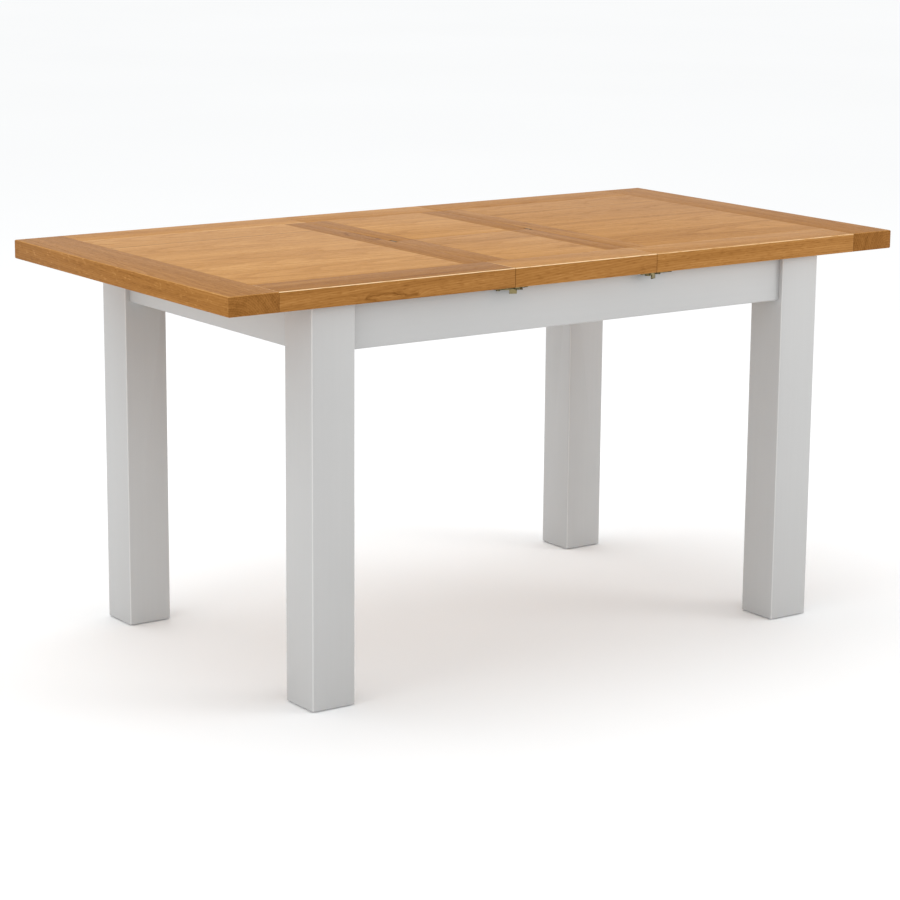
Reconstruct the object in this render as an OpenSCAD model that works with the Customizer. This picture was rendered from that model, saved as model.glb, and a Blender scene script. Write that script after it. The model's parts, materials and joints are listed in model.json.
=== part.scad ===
// Extending dining table: four painted legs and aprons, two oak top halves on
// wooden slides, and a folding oak leaf between them. The leaf is in place.
// Millimetres. X runs along the table, -Y is its front, Z is up from the floor.

/* [Tabletop] */
// Length of the top with the halves closed and the leaf put away
closed_l = 1200; // [900:10:1600]
// Length that the leaf adds
leaf_l = 330; // [280:5:450]
// Width of the top
top_w = 800; // [700:10:1000]
// Thickness of the top
top_t = 36; // [30:1:45]
// Width of the cross-grain board at each end
end_board_w = 100; // [60:1:130]
// Width of the long rails at the front and back of the top
rail_w = 90; // [75:1:120]
// Width of the cross strip on each side of a seam
strip_w = 50; // [40:1:70]
// Bevel along the outer edges of the top
edge_bevel = 1.5; // [0.5:0.1:3]
// Bevel where two boards meet
joint_bevel = 0.4; // [0.2:0.1:1]
// Open joint between a top half and the leaf
seam_gap = 0.5; // [0.3:0.1:1]

/* [Underframe] */
// Height from the floor to the tabletop
table_h = 770; // [720:5:800]
// Side of a square leg
leg_w = 90; // [70:1:110]
// Radius along the corners of a leg
leg_round = 3; // [1:0.5:6]
// How far the closed top reaches past the legs at each end
overhang_x = 12; // [5:1:60]
// How far the top reaches past the legs at the front and back
overhang_y = 19; // [17:1:40]
// How far the aprons hang below the top
apron_drop = 85; // [82:1:110]
// Thickness of an apron
apron_t = 22; // [18:1:28]
// How far an apron sits behind the outer face of a leg
apron_recess = 10; // [9:1:20]
// Gap under the top that lets the halves slide over the frame
top_gap = 1; // [0.5:0.1:2]
// Length of a corner block along each apron, from the leg
block_arm = 100; // [85:1:120]
// Height of a corner block and of a cross rail
block_h = 36; // [30:1:36]
// Thickness of a cross rail
cross_rail_t = 22; // [18:1:30]
// Space between the leaf's end and a cross rail
well_clear = 25; // [20:1:40]
// Radius of a floor glide
glide_r = 11; // [8:1:15]
// Height of a floor glide
glide_h = 2; // [1.5:0.5:5]

/* [Slides] */
// Height of a slide
slide_h = 41; // [38:1:42]
// Thickness of the slide that is fixed to an apron
fixed_slide_t = 22; // [20:1:28]
// Thickness of the left half's slide
left_slide_t = 24; // [23:1:30]
// Thickness of the right half's slide
right_slide_t = 20; // [18:1:28]
// Height of the tongue along a slide
tongue_h = 12; // [10:1:14]
// Depth of the tongue
tongue_d = 9; // [6:1:9]
// Gap between two slides, and round a tongue
slide_gap = 0.5; // [0.3:0.1:1]
// How far a slide reaches past the middle of the table
slide_reach = 60; // [20:5:100]
// How far a half pulls out past the leaf before its slide meets the leg
pull_out = 40; // [20:5:60]

/* [Leaf fold] */
// Gap along the middle of the leaf
fold_gap = 0.5; // [0.4:0.1:1]
// Bevel along the middle of the leaf
fold_bevel = 1; // [0.8:0.1:2]
// Distance from the fold line to a hinge pin
pin_out = 6; // [6:0.5:8]
// Depth of the hinge pins below the tabletop
pin_down = 2; // [2:0.1:2.2]
// Radius of a hinge pin
pin_r = 1.2; // [1:0.1:1.3]
// Thickness of a hinge plate and of a link
hinge_t = 3; // [2:0.5:4]
// Length of a hinge plate
hinge_l = 60; // [45:1:80]
// Distance from the leaf's front half's inner edge to its stowing pivot
stow_y = 100; // [80:5:120]
// Radius of a stowing pivot pin
stow_pin_r = 2.5; // [2:0.5:3]

/* [Catches] */
// Distance between a catch's pivot and its keeper's post
catch_reach = 40; // [34:1:46]
// Width of the catch and keeper plates
catch_w = 22; // [20:1:24]
// Thickness of a catch plate
catch_t = 2; // [1.5:0.5:3]
// Radius of the pivot and of the keeper's post
post_r = 2.5; // [2:0.1:3]
// Width of the lever
lever_w = 9; // [8:0.5:10]
// Thickness of the lever
lever_t = 3; // [2:0.5:4]
// Angle that the lever swings between open and closed
lever_swing = 22; // [20:1:25]

/* [Fastenings] */
// Radius of a wood screw's shank
screw_r = 2; // [1.5:0.1:2.5]
// Radius of a wood screw's head
screw_head_r = 4; // [3:0.1:5]
// Radius of a small screw's shank
small_screw_r = 1.2; // [1:0.1:1.5]
// Radius of a leg bolt
bolt_r = 4; // [3:0.5:5]
// Radius of a locating peg
peg_r = 4; // [3:0.5:5]
// Radius of a cross rail's dowels
dowel_r = 4; // [3:0.5:5]

/* [Hidden] */
$fn = 32;

// Clearances
fit = 0.05;       // round a glued or driven fastener
run = 0.08;       // round a pin that something turns on
play = 0.3;       // round what slides or swings in a pocket
hair = 0.01;      // past a face, in a cut only

// Overall
half_x = (closed_l + leaf_l) / 2;
half_y = top_w / 2;
seam_x = leaf_l / 2;
under_z = table_h - top_t;
frame_z = under_z - top_gap;
apron_z = under_z - apron_drop;

// Legs and aprons
leg_x = closed_l / 2 - overhang_x;
leg_y = half_y - overhang_y;
leg_in_x = leg_x - leg_w;
leg_in_y = leg_y - leg_w;
apron_x = leg_x - apron_recess;
apron_y = leg_y - apron_recess;
apron_in_x = apron_x - apron_t;
apron_in_y = apron_y - apron_t;
screw_in_apron = 15;

// Slides, from the apron inwards
slide_z = under_z - slide_h;
tongue_z = slide_z + slide_h / 2;
fixed_in_y = apron_in_y - fixed_slide_t;
left_out_y = fixed_in_y - slide_gap;
left_in_y = left_out_y - left_slide_t;
right_out_y = left_in_y - slide_gap;
right_in_y = right_out_y - right_slide_t;
slide_end_x = leg_in_x - pull_out - top_gap;
fixed_screw_xs = [leg_in_x / 8, leg_in_x / 2, leg_in_x - 40];
fixed_screw_z = slide_z + (slide_h - tongue_h) / 4;

// Screws up through the moving slides into the top
slide_bore = 14;
slide_head_z = slide_z + slide_bore;
slide_screw_top = under_z + 20;
slide_screw_edge = 28;
slide_screw_xs = [for (i = [0:2])
    seam_x + slide_screw_edge + i * (slide_end_x - seam_x - 2 * slide_screw_edge) / 2];
left_screw_y = left_out_y - 9;
right_screw_y = right_out_y - right_slide_t / 2;

// Blocks and cross rails, below the slides
block_z = slide_z - top_gap - block_h;
block_mid_z = block_z + block_h / 2;
apron_back = leg_w - apron_recess - apron_t;
block_through = (block_arm - apron_back) / sqrt(2);
block_notch = 1;
block_screw_in = block_arm * 0.68;
block_screw_seat = 20;
bolt_in_leg = 60;
bolt_past_nut = 6;
nut_h = 7;
nut_r = 7.5;
washer_r = 9;
washer_h = 1.5;
well_x = seam_x + well_clear;
rail_mid_x = well_x + cross_rail_t / 2;
dowel_zs = [block_mid_z - block_h / 4, block_mid_z + block_h / 4];
dowel_in_apron = 12;
dowel_in_rail = 20;
glide_pin_l = 16;

// Leaf
leaf_x = seam_x - seam_gap;
leaf_panel_x = seam_x - strip_w;
fold_y = fold_gap / 2;
panel_y = half_y - rail_w;
pad_r = 9;
pad_x = leaf_l * 0.3;

// Stowing pivot under the leaf's front half
stow_pin_z = under_z - stow_pin_r - 1;
stow_t = 3;
arm_drop = 8;
arm_flange = 22;
arm_half = 20;
arm_x = leaf_x - 2;
bracket_z = block_z + 2;

// Fold hinge
ear_back = 1;
link_r = 3;
link_h = 8;
link_under = 0.3;
link_down = link_h + link_under - pin_down;
link_swing = sqrt(link_r * link_r + link_down * link_down);
pocket_d = 2 * hinge_t + 3 * play;
pocket_y = pin_out + link_swing + play;
pocket_h = pin_down + link_swing + play;
plate_down = 5;
plate_h = 12;
plate_x = leaf_x - pocket_d + play;
link_x = plate_x + hinge_t + play;
pin_z = table_h - pin_down;
hinge_screw_ys = [hinge_l * 0.5, hinge_l * 0.85];
hinge_screw_z = table_h - plate_down - plate_h / 2;

// Catches
catch_y = apron_y + (overhang_y + apron_recess) / 2;
catch_plate_x = seam_x + catch_reach * 0.55;
catch_plate_l = 34;
keeper_l = 28;
pivot_y = apron_y + lever_w / 2 + 2;
post_x = catch_plate_x - catch_reach;
plate_z = under_z - catch_t;
lever_z = plate_z - play - lever_t;
rivet_h = 1.5;
rivet_r = 4;
rivet_z = lever_z - play - rivet_h;
slot_play = 0.5;
tab_l = 14;
tab_t = 2;
tab_h = 7;
catch_screw_y = catch_y + catch_w / 4;
catch_screw_dx = 10;

// Screws and pegs
small_head_r = 2.2;
small_head_h = 1.2;
small_screw_l = 14;
peg_ys = [half_y - rail_w / 2, panel_y / 2];
peg_in = 25;
peg_out = 12;
peg_tip = 2;
peg_z = under_z + top_t / 2;

// Colours
oak = "burlywood";
beech = "tan";
paint = "gainsboro";
steel = "silver";
brass = "darkkhaki";
nylon = "dimgray";

// ---------- shapes that repeat ----------

// Section of a board with its four corners bevelled
module bevelled(a, b, lo, hi, ca, cb) {
    polygon([[a + ca, lo], [b - cb, lo], [b, lo + cb], [b, hi - cb],
        [b - cb, hi], [a + ca, hi], [a, hi - ca], [a, lo + ca]]);
}

// A board: x, y and z are its [low, high] limits, bx and by are the bevels
// along its low and high sides
module board(x, y, z, bx, by) {
    intersection() {
        translate([0, y[1], 0]) rotate([90, 0, 0])
            linear_extrude(y[1] - y[0]) bevelled(x[0], x[1], z[0], z[1], bx[0], bx[1]);
        translate([x[0], 0, 0]) rotate([90, 0, 90])
            linear_extrude(x[1] - x[0]) bevelled(y[0], y[1], z[0], z[1], by[0], by[1]);
    }
}

// A square-edged block between two corners
module block(lo, hi) {
    translate(lo) cube(hi - lo);
}

// A flat shape drawn in Y and Z, made t thick from x
module slab_x(x, t) {
    translate([x, 0, 0]) rotate([90, 0, 90]) linear_extrude(t) children();
}

module rod_z(x, y, z0, z1, r) {
    translate([x, y, z0]) cylinder(r = r, h = z1 - z0);
}

module rod_x(x0, x1, y, z, r) {
    translate([x0, y, z]) rotate([0, 90, 0]) cylinder(r = r, h = x1 - x0);
}

module rod_y(x, y0, y1, z, r) {
    translate([x, y1, z]) rotate([90, 0, 0]) cylinder(r = r, h = y1 - y0);
}

// Everything is drawn at the left or the front, and mirrored where s is 1
module side_x(s) {
    mirror([s > 0 ? 1 : 0, 0, 0]) children();
}

module side_y(s) {
    mirror([0, s > 0 ? 1 : 0, 0]) children();
}

module both_x() {
    side_x(-1) children();
    side_x(1) children();
}

module both_y() {
    side_y(-1) children();
    side_y(1) children();
}

// A small countersunk screw: its head's face is at the origin, its shank along +Z
module small_screw(grow = 0) {
    translate([0, 0, -grow]) cylinder(r = small_head_r + grow, h = small_head_h + 2 * grow);
    cylinder(r = small_screw_r + grow, h = small_screw_l + grow);
}

// ---------- underframe ----------

module leg_section() {
    steps = 4;
    c = leg_w / 2 - leg_round;
    corner = [[1, 1], [-1, 1], [-1, -1], [1, -1]];
    polygon([for (q = [0:3]) for (i = [0:steps])
        let (a = 90 * (q + i / steps))
        [corner[q][0] * c + leg_round * cos(a), corner[q][1] * c + leg_round * sin(a)]]);
}

// A rod along the diagonal through the leg's inner corner, positive inwards
module bolt_line(r, from, to) {
    translate([-leg_in_x, -leg_in_y, block_mid_z]) rotate([0, 90, 45])
        translate([0, 0, from]) cylinder(r = r, h = to - from);
}

module leg(sx, sy) {
    color(paint) side_x(sx) side_y(sy) difference() {
        translate([leg_w / 2 - leg_x, leg_w / 2 - leg_y, glide_h])
            linear_extrude(frame_z - glide_h) leg_section();
        bolt_line(bolt_r + fit, -bolt_in_leg - 1, block_arm);
        rod_z(leg_w / 2 - leg_x, leg_w / 2 - leg_y, glide_h - hair,
            glide_h + glide_pin_l + 1, screw_r + fit);
    }
}

module floor_glides() {
    color(nylon) both_x() both_y() {
        rod_z(leg_w / 2 - leg_x, leg_w / 2 - leg_y, 0, glide_h, glide_r);
        rod_z(leg_w / 2 - leg_x, leg_w / 2 - leg_y, glide_h, glide_h + glide_pin_l, screw_r);
    }
}

// Screws from the fixed slide into the front apron, grown for their holes
module fixed_slide_screws(grow = 0) {
    for (x = fixed_screw_xs) both_x() {
        rod_y(-x, -apron_in_y - screw_in_apron - grow, -fixed_in_y, fixed_screw_z,
            screw_r + grow);
        rod_y(-x, -fixed_in_y - 3 - grow, -fixed_in_y + grow, fixed_screw_z,
            screw_head_r + grow);
    }
}

// Screws from the front left corner block into its two aprons
module block_screws(grow = 0) {
    seat = grow > 0 ? block_arm : 3;
    rod_y(block_screw_in - leg_in_x, -apron_in_y - screw_in_apron - grow,
        -apron_in_y + block_screw_seat, block_mid_z, screw_r + grow);
    rod_y(block_screw_in - leg_in_x, -apron_in_y + block_screw_seat,
        -apron_in_y + block_screw_seat + seat, block_mid_z, screw_head_r + grow);
    rod_x(-apron_in_x - screw_in_apron - grow, -apron_in_x + block_screw_seat,
        block_screw_in - leg_in_y, block_mid_z, screw_r + grow);
    rod_x(-apron_in_x + block_screw_seat, -apron_in_x + block_screw_seat + seat,
        block_screw_in - leg_in_y, block_mid_z, screw_head_r + grow);
}

// Dowels between the left cross rail and the front apron
module rail_dowels(grow = 0) {
    for (z = dowel_zs)
        rod_y(-rail_mid_x, -apron_in_y - dowel_in_apron - grow,
            -apron_in_y + dowel_in_rail + grow, z, dowel_r + grow);
}

module long_apron(sy) {
    color(paint) side_y(sy) difference() {
        board([-leg_in_x, leg_in_x], [-apron_y, -apron_in_y], [apron_z, frame_z],
            [joint_bevel, joint_bevel], [joint_bevel, joint_bevel]);
        fixed_slide_screws(fit);
        both_x() block_screws(fit);
        both_x() rail_dowels(fit);
    }
}

module end_apron(sx) {
    color(paint) side_x(sx) difference() {
        board([-apron_x, -apron_in_x], [-leg_in_y, leg_in_y], [apron_z, frame_z],
            [joint_bevel, joint_bevel], [joint_bevel, joint_bevel]);
        both_y() block_screws(fit);
    }
}

module corner_blocks() {
    color(beech) both_x() both_y() difference() {
        translate([0, 0, block_z]) linear_extrude(block_h) polygon([
            [block_arm - leg_in_x, -apron_in_y],
            [block_notch - leg_in_x, -apron_in_y],
            [block_notch - leg_in_x, block_notch - leg_in_y],
            [-apron_in_x, block_notch - leg_in_y],
            [-apron_in_x, block_arm - leg_in_y]]);
        bolt_line(bolt_r + play, -bolt_r, block_arm);
        block_screws(fit);
    }
}

module leg_bolts() {
    color(steel) both_x() both_y()
        bolt_line(bolt_r, -bolt_in_leg, block_through + washer_h + nut_h + bolt_past_nut);
}

module leg_nuts() {
    color(steel) both_x() both_y() difference() {
        union() {
            bolt_line(washer_r, block_through, block_through + washer_h);
            translate([-leg_in_x, -leg_in_y, block_mid_z]) rotate([0, 90, 45])
                translate([0, 0, block_through + washer_h])
                    cylinder(r = nut_r, h = nut_h, $fn = 6);
        }
        bolt_line(bolt_r + fit, 0, block_arm);
    }
}

module cross_rail(sx) {
    color(beech) side_x(sx) difference() {
        block([-well_x - cross_rail_t, -apron_in_y, block_z],
            [-well_x, apron_in_y, block_z + block_h]);
        both_y() rail_dowels(fit);
        stow_bracket_screws(fit);
    }
}

module cross_rail_dowels() {
    color(beech) both_x() both_y() rail_dowels();
}

// ---------- slides ----------

// The slide fixed along an apron, grooved along its inner face
module fixed_slide(sy) {
    color(beech) side_y(sy) difference() {
        block([top_gap - leg_in_x, -apron_in_y, slide_z],
            [leg_in_x - top_gap, -fixed_in_y, frame_z]);
        block([-leg_in_x, -fixed_in_y - tongue_d - play, tongue_z - tongue_h / 2 - play],
            [leg_in_x, -fixed_in_y + hair, tongue_z + tongue_h / 2 + play]);
        fixed_slide_screws(fit);
    }
}

// A slide under a top half: its tongue runs in the slide outside it
module moving_slide(out_y, in_y, screw_y) {
    difference() {
        union() {
            block([-slide_end_x, -out_y, slide_z], [slide_reach, -in_y, under_z]);
            block([-slide_end_x, -out_y - slide_gap - tongue_d, tongue_z - tongue_h / 2],
                [slide_reach, -out_y + hair, tongue_z + tongue_h / 2]);
        }
        block([-seam_x, -out_y - tongue_d - slide_gap - hair, frame_z],
            [slide_reach + hair, -in_y + hair, under_z + hair]);
        slide_screws(screw_y, fit);
    }
}

module left_slide(sy) {
    color(beech) side_y(sy) difference() {
        moving_slide(left_out_y, left_in_y, left_screw_y);
        block([-slide_end_x - hair, -left_in_y - tongue_d - play,
                tongue_z - tongue_h / 2 - play],
            [slide_reach + hair, -left_in_y + hair, tongue_z + tongue_h / 2 + play]);
    }
}

module right_slide(sy) {
    color(beech) side_x(1) side_y(sy)
        moving_slide(right_out_y, right_in_y, right_screw_y);
}

// Screws up from a moving slide into the top, grown for their holes
module slide_screws(y, grow = 0) {
    sunk = grow > 0 ? slide_bore : 3;
    for (x = slide_screw_xs) {
        rod_z(-x, -y, slide_head_z - sunk - grow, slide_head_z, screw_head_r + 4 * grow);
        rod_z(-x, -y, slide_head_z, slide_screw_top + grow, screw_r + grow);
    }
}

module frame_screws() {
    color(steel) {
        both_y() fixed_slide_screws();
        both_x() both_y() block_screws();
        both_x() stow_bracket_screws();
    }
}

// ---------- top halves ----------

// Holes in the boards of the left half, whose slides are screwed on at y
module half_cuts(y) {
    both_y() slide_screws(y, fit);
    both_y() catch_plate_screws(fit);
    half_pegs(fit);
}

module top_end_board(sx, y) {
    color(oak) side_x(sx) difference() {
        board([-half_x, end_board_w - half_x], [-half_y, half_y], [under_z, table_h],
            [edge_bevel, joint_bevel], [edge_bevel, edge_bevel]);
        half_cuts(y);
    }
}

module top_rail(sx, sy, y) {
    color(oak) side_x(sx) difference() {
        side_y(sy) board([end_board_w - half_x, -seam_x], [-half_y, -panel_y],
            [under_z, table_h], [joint_bevel, joint_bevel], [edge_bevel, joint_bevel]);
        half_cuts(y);
    }
}

module top_strip(sx, y) {
    color(oak) side_x(sx) difference() {
        board([-seam_x - strip_w, -seam_x], [-panel_y, panel_y], [under_z, table_h],
            [joint_bevel, joint_bevel], [joint_bevel, joint_bevel]);
        half_cuts(y);
    }
}

module top_panel(sx, y) {
    color(oak) side_x(sx) difference() {
        board([end_board_w - half_x, -seam_x - strip_w], [-panel_y, panel_y],
            [under_z, table_h], [joint_bevel, joint_bevel], [joint_bevel, joint_bevel]);
        half_cuts(y);
    }
}

// Pegs in the seam of the left half, that enter the leaf's front half
module half_pegs(grow = 0) {
    for (y = peg_ys) {
        rod_x(-seam_x - peg_in - grow, -seam_x + peg_out - peg_tip, -y, peg_z, peg_r + grow);
        translate([-seam_x + peg_out - peg_tip, -y, peg_z]) rotate([0, 90, 0])
            cylinder(r1 = peg_r, r2 = peg_r - peg_tip, h = peg_tip);
    }
}

module top_pegs(sx) {
    color(beech) side_x(sx) half_pegs();
}

module top_screws(sx, y) {
    color(steel) side_x(sx) both_y() {
        slide_screws(y);
        catch_plate_screws();
    }
}

// ---------- catches ----------

// Two small screws up through a plate whose middle is at x
module plate_screws(x, grow = 0) {
    for (dx = [-catch_screw_dx, catch_screw_dx])
        translate([-x + dx, -catch_screw_y, plate_z]) small_screw(grow);
}

module catch_plate_screws(grow = 0) {
    plate_screws(catch_plate_x, grow);
}

// The plate under a top half, with the rivet that its lever turns on
module catch_plates(sx) {
    color(brass) side_x(sx) both_y() difference() {
        union() {
            block([-catch_plate_x - catch_plate_l / 2, -catch_y - catch_w / 2, plate_z],
                [-catch_plate_x + catch_plate_l / 2, -catch_y + catch_w / 2, under_z]);
            rod_z(-catch_plate_x, -pivot_y, rivet_z, plate_z + hair, post_r);
            rod_z(-catch_plate_x, -pivot_y, rivet_z, rivet_z + rivet_h, rivet_r);
        }
        catch_plate_screws(fit);
    }
}

// The plate under one half of the leaf, with the post that the lever hooks
module keepers() {
    color(brass) both_x() difference() {
        union() {
            block([-post_x - keeper_l / 2, -catch_y - catch_w / 2, plate_z],
                [-post_x + keeper_l / 2, -catch_y + catch_w / 2, under_z]);
            rod_z(-post_x, -pivot_y, lever_z - play, plate_z + hair, post_r);
        }
        plate_screws(post_x, fit);
    }
}

// The swinging lever, drawn along +X from its pivot and swung open
module lever(sx, sy) {
    end_r = lever_w / 2;
    tip = catch_reach + post_r + slot_play + 2;
    color(brass) side_x(sx) side_y(sy)
        translate([-catch_plate_x, -pivot_y, lever_z]) rotate([0, 0, -lever_swing])
            difference() {
                union() {
                    cylinder(r = end_r, h = lever_t);
                    block([0, -end_r, 0], [tip, end_r, lever_t]);
                    block([catch_reach * 0.5, -end_r, -tab_h],
                        [catch_reach * 0.5 + tab_l, -end_r + tab_t, lever_t]);
                }
                rod_z(0, 0, -hair, lever_t + hair, post_r + run);
                rod_z(catch_reach, 0, -hair, lever_t + hair, post_r + slot_play);
                block([catch_reach - post_r - slot_play, 0, -hair],
                    [catch_reach + post_r + slot_play, end_r + hair, lever_t + hair]);
            }
}

// ---------- leaf ----------

// Holes in the front half of the leaf; the back half has the same but for
// the pegs and the stowing arms
module leaf_cuts(front) {
    both_x() {
        plate_screws(post_x, fit);
        hinge_pocket();
        hinge_screws(fit);
        if (front) {
            stow_arm_screws(fit);
            for (y = peg_ys)
                rod_x(-leaf_x - hair, peg_out + 1 - leaf_x, -y, peg_z, peg_r + play);
        }
    }
}

module leaf_rail(front) {
    color(oak) side_y(front ? -1 : 1) difference() {
        board([-leaf_x, leaf_x], [-half_y, -panel_y], [under_z, table_h],
            [joint_bevel, joint_bevel], [edge_bevel, joint_bevel]);
        leaf_cuts(front);
    }
}

module leaf_strips(front) {
    color(oak) side_y(front ? -1 : 1) both_x() difference() {
        board([-leaf_x, -leaf_panel_x], [-panel_y, -fold_y], [under_z, table_h],
            [joint_bevel, joint_bevel], [joint_bevel, fold_bevel]);
        leaf_cuts(front);
    }
}

module leaf_panel(front) {
    color(oak) side_y(front ? -1 : 1) difference() {
        board([-leaf_panel_x, leaf_panel_x], [-panel_y, -fold_y], [under_z, table_h],
            [joint_bevel, joint_bevel], [joint_bevel, fold_bevel]);
        leaf_cuts(front);
    }
}

module leaf_rest_pads() {
    color(nylon) both_x() both_y()
        rod_z(-pad_x, -apron_in_y + fixed_slide_t / 2, frame_z, under_z, pad_r);
}

// ---------- fold hinges, in the ends of the leaf ----------

module hinge_pocket() {
    deep = pocket_d + hair;
    block([-leaf_x - hair, -pocket_y, table_h - pocket_h],
        [-leaf_x - hair + deep, hair, table_h + hair]);
    block([-leaf_x - hair, -hinge_l - play, table_h - plate_down - plate_h - play],
        [-leaf_x - hair + deep, hair, table_h - plate_down + play]);
}

module hinge_screws(grow = 0) {
    for (y = hinge_screw_ys)
        translate([-plate_x - hinge_t, -y, hinge_screw_z]) rotate([0, 90, 0])
            small_screw(grow);
}

// Plate with a raised ear that carries the pin
module hinge_plates() {
    color(brass) both_x() difference() {
        slab_x(-plate_x - hinge_t, hinge_t) {
            polygon([[-hinge_l, table_h - plate_down - plate_h],
                [-fold_y - ear_back, table_h - plate_down - plate_h],
                [-fold_y - ear_back, table_h - link_under],
                [-pin_out - link_r, table_h - link_under],
                [-pin_out - link_r, table_h - plate_down],
                [-hinge_l, table_h - plate_down]]);
        }
        rod_x(-plate_x - hinge_t - hair, -plate_x + hair, -pin_out, pin_z, pin_r + run);
        hinge_screws(fit);
    }
}

module hinge_links() {
    end = pin_out + link_r;
    low = table_h - link_under - link_h;
    color(brass) both_x() difference() {
        slab_x(-link_x - hinge_t, hinge_t)
            polygon([[-end, low], [end, low], [end, table_h - link_under],
                [-end, table_h - link_under]]);
        both_y() rod_x(-link_x - hinge_t - hair, -link_x + hair, -pin_out, pin_z,
            pin_r + fit);
    }
}

module hinge_pins() {
    color(steel) both_x() both_y()
        rod_x(-link_x - hinge_t, -plate_x, -pin_out, pin_z, pin_r);
}

// ---------- stowing pivot of the leaf ----------

module stow_arm_screws(grow = 0) {
    for (dy = [-arm_half * 0.65, arm_half * 0.65])
        translate([stow_t + arm_flange / 2 - arm_x, dy - stow_y, under_z - stow_t])
            small_screw(grow);
}

module stow_arms() {
    color(steel) both_x() difference() {
        union() {
            block([-arm_x, -stow_y - arm_half, under_z - arm_drop],
                [stow_t - arm_x, -stow_y + arm_half, under_z]);
            block([stow_t - arm_x - hair, -stow_y - arm_half, under_z - stow_t],
                [stow_t + arm_flange - arm_x, -stow_y + arm_half, under_z]);
        }
        rod_x(-arm_x - hair, stow_t - arm_x, -stow_y, stow_pin_z, stow_pin_r + run);
        stow_arm_screws(fit);
    }
}

module stow_bracket_screws(grow = 0) {
    for (dy = [-arm_half * 0.6, arm_half * 0.6])
        translate([stow_t - well_x, dy - stow_y, block_mid_z]) rotate([0, -90, 0])
            small_screw(grow);
}

module stow_brackets() {
    color(steel) both_x() difference() {
        block([-well_x, -stow_y - arm_half, bracket_z],
            [stow_t - well_x, -stow_y + arm_half, frame_z]);
        rod_x(-well_x - hair, stow_t - well_x + hair, -stow_y, stow_pin_z, stow_pin_r + run);
        stow_bracket_screws(fit);
    }
}

module stow_pins() {
    color(steel) both_x()
        rod_x(-well_x - 1, stow_t - arm_x - play, -stow_y, stow_pin_z, stow_pin_r);
}

module leaf_screws(front) {
    color(steel) side_y(front ? -1 : 1) both_x() {
        plate_screws(post_x);
        hinge_screws();
        if (front) stow_arm_screws();
    }
}

// ---------- what is drawn ----------

leg(-1, -1);  // leg_front_left
leg(1, -1);  // leg_front_right
leg(-1, 1);  // leg_back_left
leg(1, 1);  // leg_back_right
long_apron(-1);  // front_apron
long_apron(1);  // back_apron
end_apron(-1);  // left_apron
end_apron(1);  // right_apron
corner_blocks();
leg_bolts();
leg_nuts();
floor_glides();
cross_rail(-1);  // left_cross_rail
cross_rail(1);  // right_cross_rail
cross_rail_dowels();
fixed_slide(-1);  // front_fixed_slide
fixed_slide(1);  // back_fixed_slide
frame_screws();
leaf_rest_pads();
stow_brackets();
stow_arms();
stow_pins();
leaf_rail(true);  // front_leaf_rail
leaf_strips(true);  // front_leaf_strips
leaf_panel(true);  // front_leaf_panel
hinge_plates();  // front_hinge_plates
keepers();  // front_keepers
leaf_screws(true);  // front_leaf_screws
hinge_links();
hinge_pins();
leaf_rail(false);  // back_leaf_rail
leaf_strips(false);  // back_leaf_strips
leaf_panel(false);  // back_leaf_panel
side_y(1) hinge_plates();  // back_hinge_plates
side_y(1) keepers();  // back_keepers
leaf_screws(false);  // back_leaf_screws
top_end_board(-1, left_screw_y);  // left_end_board
top_rail(-1, -1, left_screw_y);  // left_front_rail
top_rail(-1, 1, left_screw_y);  // left_back_rail
top_strip(-1, left_screw_y);  // left_strip
top_panel(-1, left_screw_y);  // left_panel
left_slide(-1);  // left_front_slide
left_slide(1);  // left_back_slide
top_screws(-1, left_screw_y);  // left_top_screws
top_pegs(-1);  // left_pegs
catch_plates(-1);  // left_catch_plates
top_end_board(1, right_screw_y);  // right_end_board
top_rail(1, -1, right_screw_y);  // right_front_rail
top_rail(1, 1, right_screw_y);  // right_back_rail
top_strip(1, right_screw_y);  // right_strip
top_panel(1, right_screw_y);  // right_panel
right_slide(-1);  // right_front_slide
right_slide(1);  // right_back_slide
top_screws(1, right_screw_y);  // right_top_screws
top_pegs(1);  // right_pegs
catch_plates(1);  // right_catch_plates
lever(-1, -1);  // front_left_lever
lever(-1, 1);  // back_left_lever
lever(1, -1);  // front_right_lever
lever(1, 1);  // back_right_lever
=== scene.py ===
import bpy
import json
import math
from mathutils import Euler, Matrix, Vector


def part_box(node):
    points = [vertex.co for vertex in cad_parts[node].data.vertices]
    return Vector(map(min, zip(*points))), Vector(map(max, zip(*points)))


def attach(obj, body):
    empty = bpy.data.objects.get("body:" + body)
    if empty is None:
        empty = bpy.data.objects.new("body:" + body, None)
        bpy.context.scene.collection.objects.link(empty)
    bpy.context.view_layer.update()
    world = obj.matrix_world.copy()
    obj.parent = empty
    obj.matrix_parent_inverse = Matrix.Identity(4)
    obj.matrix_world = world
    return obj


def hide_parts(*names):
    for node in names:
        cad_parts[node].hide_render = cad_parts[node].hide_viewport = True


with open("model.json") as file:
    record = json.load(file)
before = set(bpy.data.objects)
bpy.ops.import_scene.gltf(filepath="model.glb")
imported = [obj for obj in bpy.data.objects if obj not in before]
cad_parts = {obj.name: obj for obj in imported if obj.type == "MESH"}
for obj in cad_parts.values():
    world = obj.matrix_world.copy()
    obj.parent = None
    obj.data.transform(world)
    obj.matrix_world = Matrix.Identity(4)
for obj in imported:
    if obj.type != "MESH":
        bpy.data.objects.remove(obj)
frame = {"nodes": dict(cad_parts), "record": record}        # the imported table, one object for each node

nodes = frame["nodes"]
scene = bpy.context.scene
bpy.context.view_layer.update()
record = frame["record"]
bodyOf = {node: body for body, members in record["behaviour"]["bodies"].items() for node in members}
slotOf = {part["node"]: part["material_slot"] for part in record["subparts"]}
print("frame loaded:", len(nodes), "nodes")


# camera, floor and light

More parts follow.
